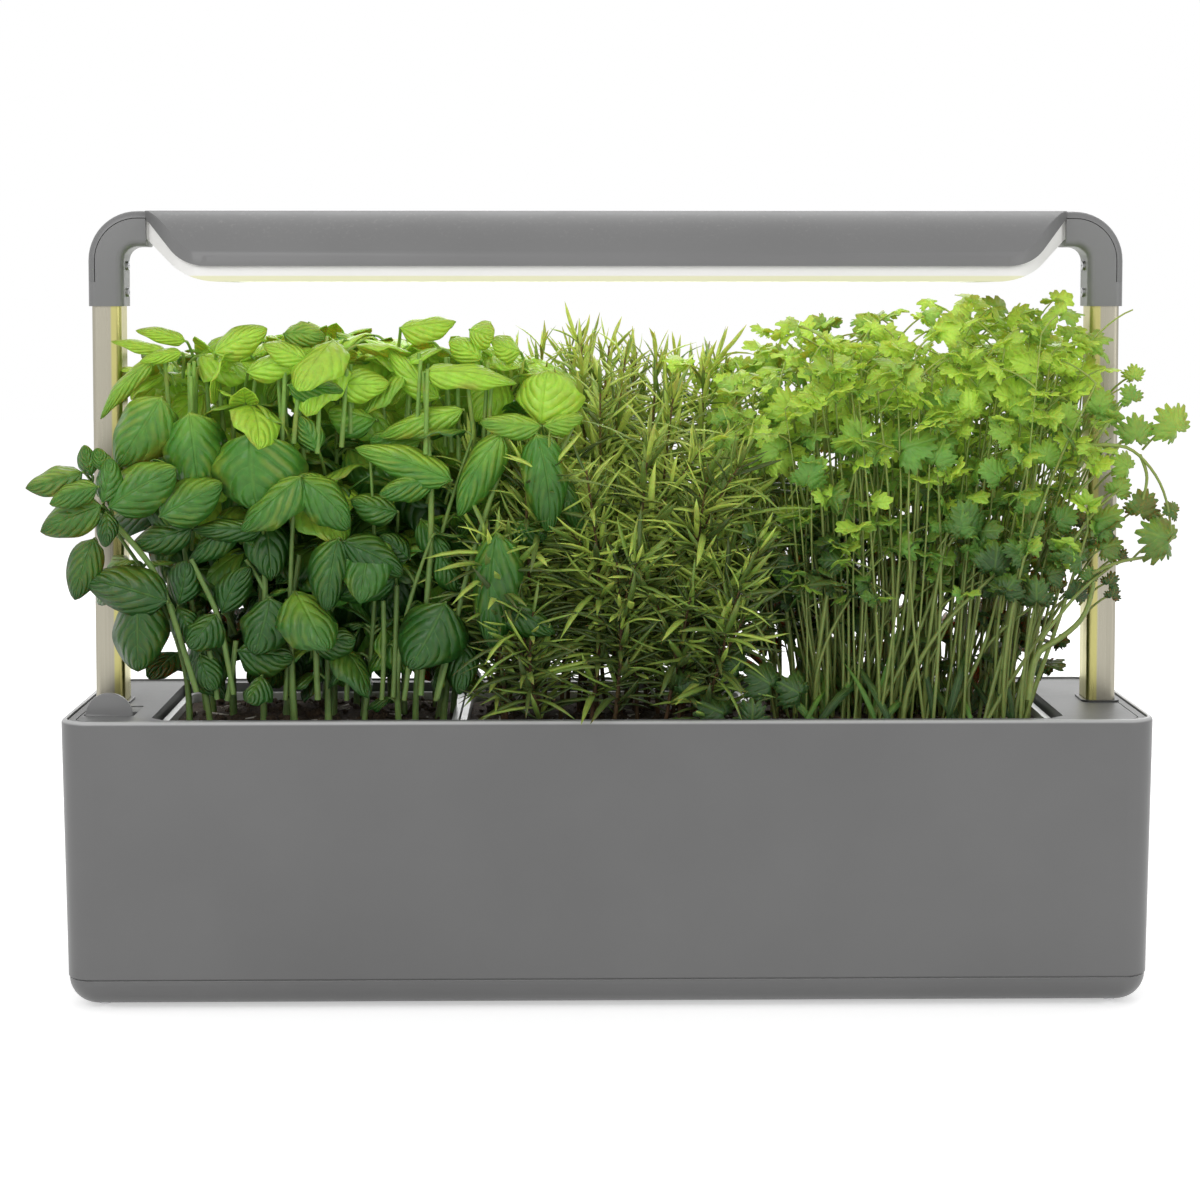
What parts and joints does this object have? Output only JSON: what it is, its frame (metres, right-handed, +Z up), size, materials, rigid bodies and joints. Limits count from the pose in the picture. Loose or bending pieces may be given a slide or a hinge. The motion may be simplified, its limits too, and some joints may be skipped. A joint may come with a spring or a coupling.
{
  "type": "indoor herb planter",
  "caption": "Long trough planter with lift-out herb pots over a water reservoir, a fill flap, and a lamp hood on two posts that lifts off.",
  "frame": {"origin": "centre of the planter's footprint, on the surface that the feet stand on", "axes": "+X along the trough to the right as seen from the front, +Y to the back, +Z up"},
  "size_m": [0.6324, 0.1623, 0.4242],
  "materials": {
    "satin_grey": "satin dark grey",
    "black_plastic": "matt black",
    "gloss_grey": "high gloss grey",
    "rubber": "matt",
    "steel_screw": "plain",
    "felt": "needled felt",
    "white_pot": "smooth white",
    "soil": "crumbly potting soil",
    "basil_green": "soft leaf",
    "rosemary_green": "soft leaf",
    "coriander_green": "soft leaf",
    "satin_aluminium": "satin anodised",
    "white_pan": "satin white",
    "frosted_clear": "frosted",
    "white_board": "white solder mask",
    "led_yellow": "phosphor yellow",
    "green_board": "solder mask",
    "lead_black": "smooth sheath"
  },
  "bodies": {
    "planter": {"planter_shell": "satin_grey", "base_pan": "satin_grey", "feet": "rubber", "base_screws": "steel_screw", "socket_screws": "steel_screw", "top_deck": "gloss_grey", "flap_pin": "steel_screw", "reservoir_liner": "black_plastic", "pot_platform": "black_plastic", "platform_rails": "black_plastic", "capillary_mat": "felt", "pot_left": "white_pot", "pot_middle": "white_pot", "pot_right": "white_pot", "soil_left": "soil", "soil_middle": "soil", "soil_right": "soil", "basil_plant": "basil_green", "rosemary_plant": "rosemary_green", "coriander_plant": "coriander_green", "left_post_socket": "black_plastic", "right_post_socket": "black_plastic"},
    "lamp": {"left_post": "satin_aluminium", "right_post": "satin_aluminium", "left_post_plug": "black_plastic", "right_post_plug": "black_plastic", "left_elbow": "satin_grey", "right_elbow": "satin_grey", "elbow_screws": "steel_screw", "hood_cover": "satin_grey", "light_pan": "white_pan", "diffuser": "frosted_clear", "led_board": "white_board", "leds": "led_yellow", "driver_board": "green_board", "board_screws": "steel_screw", "dc_inlet": "black_plastic", "supply_lead": "lead_black", "switch_board": "green_board", "switch_lead": "lead_black"},
    "flap": {"fill_flap": "satin_grey"},
    "button": {"power_button": "satin_grey"}
  },
  "joints": [
    {"name": "lamp_lift", "type": "slide", "parent": "planter", "child": "lamp", "axis": [0, 0, 1], "range_m": [0, 0.06]},
    {"name": "flap_hinge", "type": "hinge", "parent": "planter", "child": "flap", "pos_m": [-0.267, -0.0465, 0.1529], "axis": [1, 0, 0], "range_deg": [-90, 0]},
    {"name": "button_press", "type": "slide", "parent": "lamp", "child": "button", "axis": [0, -1, 0], "range_m": [0, 0.0012], "stiffness_N_per_m": 500, "springref_m": -0.001}
  ]
}
